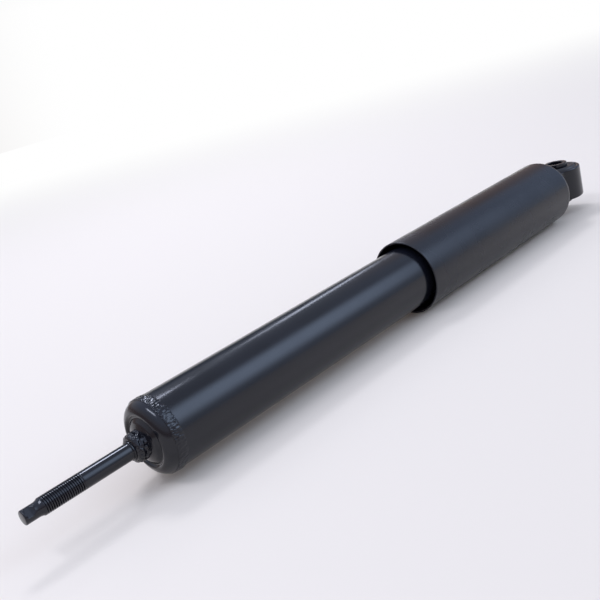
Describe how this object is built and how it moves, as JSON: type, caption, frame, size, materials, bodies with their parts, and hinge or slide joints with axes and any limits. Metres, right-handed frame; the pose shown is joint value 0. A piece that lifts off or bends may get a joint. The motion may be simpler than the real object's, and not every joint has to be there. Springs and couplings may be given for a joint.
{
  "type": "shock absorber",
  "caption": "Telescopic twin-tube shock absorber with a rubber-bushed eye on its dust cover and a threaded stem on its cylinder.",
  "frame": {"origin": "centre of the eye's bore, on the damper's axis and halfway along the bush sleeve", "axes": "+X along the damper's axis from the stem towards the eye, +Z along the eye's bore"},
  "size_m": [0.6898, 0.067, 0.067],
  "materials": {
    "paint": "black gloss paint over steel",
    "bush_rubber": "moulded rubber, painted over",
    "seal_rubber": "nitrile rubber",
    "chromed_steel": "hard chrome, ground and polished",
    "bright_steel": "drawn and turned steel, oiled",
    "sintered_iron": "sintered iron",
    "spring_steel": "hardened spring steel strip",
    "zinc_steel": "zinc-plated steel",
    "band_plastic": "bronze-filled PTFE",
    "bush_bronze": "bronze-backed plain bush"
  },
  "bodies": {
    "bush": {"bush_sleeve": "paint"},
    "upper": {"eye_ring": "paint", "bush_rubber": "bush_rubber", "eye_weld": "paint", "dust_cover": "paint", "end_plate": "bright_steel", "rod_weld": "bright_steel", "piston_rod": "chromed_steel", "rebound_buffer": "seal_rubber", "rebound_stop": "bright_steel", "check_retainer": "bright_steel", "check_spring": "spring_steel", "piston": "sintered_iron", "rebound_discs": "spring_steel", "rebound_washer": "bright_steel", "piston_nut": "zinc_steel"},
    "band": {"piston_band": "band_plastic"},
    "cylinder": {"reserve_tube": "paint", "base_weld": "paint", "base_cup": "paint", "stem_weld": "paint", "mounting_stem": "paint", "seal_washer": "bright_steel", "rod_seal": "seal_rubber", "seal_spring": "spring_steel", "rod_guide": "sintered_iron", "guide_bush": "bush_bronze", "guide_o_ring": "seal_rubber", "pressure_tube": "bright_steel", "base_valve_body": "sintered_iron", "base_valve_bolt": "zinc_steel", "intake_spring": "spring_steel", "compression_discs": "spring_steel", "compression_washer": "bright_steel", "base_valve_nut": "zinc_steel"},
    "check": {"check_plate": "spring_steel"},
    "intake": {"intake_plate": "spring_steel"}
  },
  "joints": [
    {"name": "bush_twist", "type": "hinge", "parent": "bush", "child": "upper", "pos_m": [0, 0, 0], "axis": [0, 0, 1], "range_deg": [-20, 20], "stiffness_Nm_per_rad": 60},
    {"name": "swivel", "type": "hinge", "parent": "upper", "child": "band", "pos_m": [-0.3, 0, 0], "axis": [1, 0, 0], "continuous": true},
    {"name": "stroke", "type": "slide", "parent": "band", "child": "cylinder", "axis": [1, 0, 0], "range_m": [0, 0.2]},
    {"name": "check_lift", "type": "slide", "parent": "upper", "child": "check", "axis": [1, 0, 0], "range_m": [0, 0.0012], "stiffness_N_per_m": 1500, "springref_m": -0.002, "deforming": ["check_spring"]},
    {"name": "intake_lift", "type": "slide", "parent": "cylinder", "child": "intake", "axis": [1, 0, 0], "range_m": [0, 0.0015], "stiffness_N_per_m": 800, "springref_m": -0.002, "deforming": ["intake_spring"]}
  ]
}
